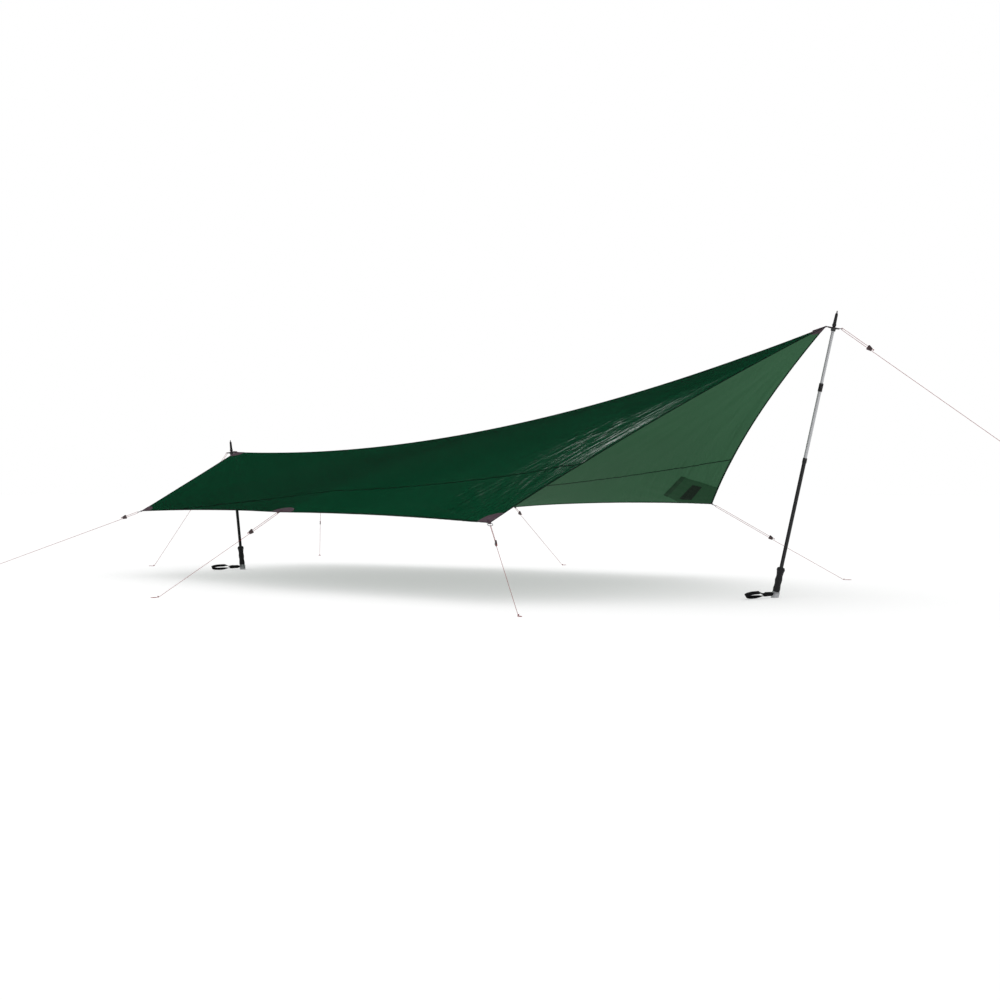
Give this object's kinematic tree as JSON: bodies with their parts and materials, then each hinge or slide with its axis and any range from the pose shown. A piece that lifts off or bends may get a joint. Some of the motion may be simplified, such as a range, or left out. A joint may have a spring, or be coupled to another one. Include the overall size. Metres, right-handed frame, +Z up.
{
  "type": "tarp shelter",
  "caption": "Tapered two-person tarp shelter with curved edges, pitched on two upturned telescopic trekking poles and held out by guylines with sliders.",
  "frame": {"origin": "middle of the pitched shelter's footprint on the ground, with the guylines left out", "axes": "+X along the ridge from the low rear pole to the tall front pole, -Y the near side, +Z up"},
  "size_m": [6.7219, 3.393, 1.3376],
  "materials": {
    "cloth": "coated thin woven cloth, glossy",
    "pocket_cloth": "coated thin woven cloth",
    "webbing": "woven tape",
    "strap_webbing": "woven tape",
    "ring_metal": "bright",
    "guyline_cord": "braided",
    "slider_plastic": "moulded",
    "black_alloy": "black anodised",
    "bare_alloy": "satin",
    "cap_metal": "satin",
    "grip_foam": "matt",
    "carbide": "worn",
    "black_plastic": "moulded"
  },
  "bodies": {
    "canopy": {"far_front_guyline": "guyline_cord", "far_front_ring": "ring_metal", "far_front_tab": "webbing", "far_main_panel": "cloth", "far_mid_guyline": "guyline_cord", "far_mid_tab": "webbing", "far_rear_guyline": "guyline_cord", "far_rear_ring": "ring_metal", "far_rear_tab": "webbing", "far_side_panel": "cloth", "front_ridge_guyline": "guyline_cord", "front_ridge_tab": "webbing", "near_front_guyline": "guyline_cord", "near_front_ring": "ring_metal", "near_front_tab": "webbing", "near_main_panel": "cloth", "near_mid_guyline": "guyline_cord", "near_mid_tab": "webbing", "near_rear_guyline": "guyline_cord", "near_rear_ring": "ring_metal", "near_rear_tab": "webbing", "near_side_panel": "cloth", "rear_ridge_guyline": "guyline_cord", "rear_ridge_tab": "webbing", "stow_pocket": "pocket_cloth"},
    "front_lower_section": {"front_lower_tube": "bare_alloy", "front_basket": "black_plastic", "front_ferrule": "black_plastic", "front_carbide_tip": "carbide"},
    "front_lower_plug": {"front_lower_expander": "black_plastic"},
    "front_middle_section": {"front_middle_tube": "bare_alloy", "front_lower_lock": "black_plastic"},
    "front_middle_plug": {"front_middle_expander": "black_plastic"},
    "front_upper_section": {"front_upper_tube": "black_alloy", "front_upper_lock": "black_plastic", "front_grip": "grip_foam", "front_grip_cap": "cap_metal"},
    "front_strap": {"front_wrist_strap": "strap_webbing"},
    "rear_lower_section": {"rear_lower_tube": "bare_alloy", "rear_basket": "black_plastic", "rear_ferrule": "black_plastic", "rear_carbide_tip": "carbide"},
    "rear_lower_plug": {"rear_lower_expander": "black_plastic"},
    "rear_middle_section": {"rear_middle_tube": "bare_alloy", "rear_lower_lock": "black_plastic"},
    "rear_middle_plug": {"rear_middle_expander": "black_plastic"},
    "rear_upper_section": {"rear_upper_tube": "black_alloy", "rear_upper_lock": "black_plastic", "rear_grip": "grip_foam", "rear_grip_cap": "cap_metal"},
    "rear_strap": {"rear_wrist_strap": "strap_webbing"},
    "far_front_adjuster": {"far_front_slider": "slider_plastic"},
    "far_mid_adjuster": {"far_mid_slider": "slider_plastic"},
    "far_rear_adjuster": {"far_rear_slider": "slider_plastic"},
    "front_ridge_adjuster": {"front_ridge_slider": "slider_plastic"},
    "near_front_adjuster": {"near_front_slider": "slider_plastic"},
    "near_mid_adjuster": {"near_mid_slider": "slider_plastic"},
    "near_rear_adjuster": {"near_rear_slider": "slider_plastic"},
    "rear_ridge_adjuster": {"rear_ridge_slider": "slider_plastic"}
  },
  "joints": [
    {"name": "front_pole_swing", "type": "hinge", "parent": "canopy", "child": "front_lower_section", "pos_m": [2.02354, 0.00139, 1.25986], "axis": [0, 1, 0], "range_deg": [-20, 20], "deforming": ["front_ridge_tab"]},
    {"name": "front_lower_twist", "type": "hinge", "parent": "front_lower_section", "child": "front_lower_plug", "pos_m": [1.96438, 0.00139, 1.0036], "axis": [0.225, 0, 0.9744], "range_deg": [0, 300]},
    {"name": "front_lower_slide", "type": "slide", "parent": "front_lower_plug", "child": "front_middle_section", "axis": [-0.225, 0, -0.9744], "range_m": [-0.24, 0.023]},
    {"name": "front_middle_twist", "type": "hinge", "parent": "front_middle_section", "child": "front_middle_plug", "pos_m": [1.88452, 0.00139, 0.6577], "axis": [0.225, 0, 0.9744], "range_deg": [0, 300]},
    {"name": "front_middle_slide", "type": "slide", "parent": "front_middle_plug", "child": "front_upper_section", "axis": [-0.225, 0, -0.9744], "range_m": [-0.301, 0.025]},
    {"name": "front_strap_swing", "type": "hinge", "parent": "front_upper_section", "child": "front_strap", "pos_m": [1.73139, -0.01938, 0.0185], "axis": [-0.9659, 0.2588, 0], "range_deg": [0, 55]},
    {"name": "rear_pole_swing", "type": "hinge", "parent": "canopy", "child": "rear_lower_section", "pos_m": [-2.02308, 0.00139, 0.74522], "axis": [0, 1, 0], "range_deg": [-20, 20], "deforming": ["rear_ridge_tab"]},
    {"name": "rear_lower_twist", "type": "hinge", "parent": "rear_lower_section", "child": "rear_lower_plug", "pos_m": [-2.01999, 0.00139, 0.72243], "axis": [-0.134, 0, 0.991], "range_deg": [0, 300]},
    {"name": "rear_lower_slide", "type": "slide", "parent": "rear_lower_plug", "child": "rear_middle_section", "axis": [0.134, 0, -0.991], "range_m": [0, 0.263]},
    {"name": "rear_middle_twist", "type": "hinge", "parent": "rear_middle_section", "child": "rear_middle_plug", "pos_m": [-2.01276, 0.00139, 0.66891], "axis": [-0.134, 0, 0.991], "range_deg": [0, 300]},
    {"name": "rear_middle_slide", "type": "slide", "parent": "rear_middle_plug", "child": "rear_upper_section", "axis": [0.134, 0, -0.991], "range_m": [0, 0.326]},
    {"name": "rear_strap_swing", "type": "hinge", "parent": "rear_upper_section", "child": "rear_strap", "pos_m": [-1.93038, -0.01938, 0.0185], "axis": [-0.9659, 0.2588, 0], "range_deg": [0, 55]},
    {"name": "far_front_slider_slide", "type": "slide", "parent": "canopy", "child": "far_front_adjuster", "axis": [-0.8018, -0.3276, 0.4997], "range_m": [0, 0.3]},
    {"name": "far_mid_slider_slide", "type": "slide", "parent": "canopy", "child": "far_mid_adjuster", "axis": [-0.0028, -0.8078, 0.5894], "range_m": [0, 0.02]},
    {"name": "far_rear_slider_slide", "type": "slide", "parent": "canopy", "child": "far_rear_adjuster", "axis": [0.6566, -0.6718, 0.3428], "range_m": [0, 0.28]},
    {"name": "front_ridge_slider_slide", "type": "slide", "parent": "canopy", "child": "front_ridge_adjuster", "axis": [-0.8037, 0, 0.595], "range_m": [0, 0.12]},
    {"name": "near_front_slider_slide", "type": "slide", "parent": "canopy", "child": "near_front_adjuster", "axis": [-0.6347, 0.5643, 0.5279], "range_m": [0, 0.1]},
    {"name": "near_mid_slider_slide", "type": "slide", "parent": "canopy", "child": "near_mid_adjuster", "axis": [0.1055, 0.8681, 0.4851], "range_m": [0, 0.15]},
    {"name": "near_rear_slider_slide", "type": "slide", "parent": "canopy", "child": "near_rear_adjuster", "axis": [0.8177, 0.4649, 0.3395], "range_m": [0, 0.04]},
    {"name": "rear_ridge_slider_slide", "type": "slide", "parent": "canopy", "child": "rear_ridge_adjuster", "axis": [0.6222, 0.1077, 0.7754], "range_m": [0, 0.25]}
  ]
}
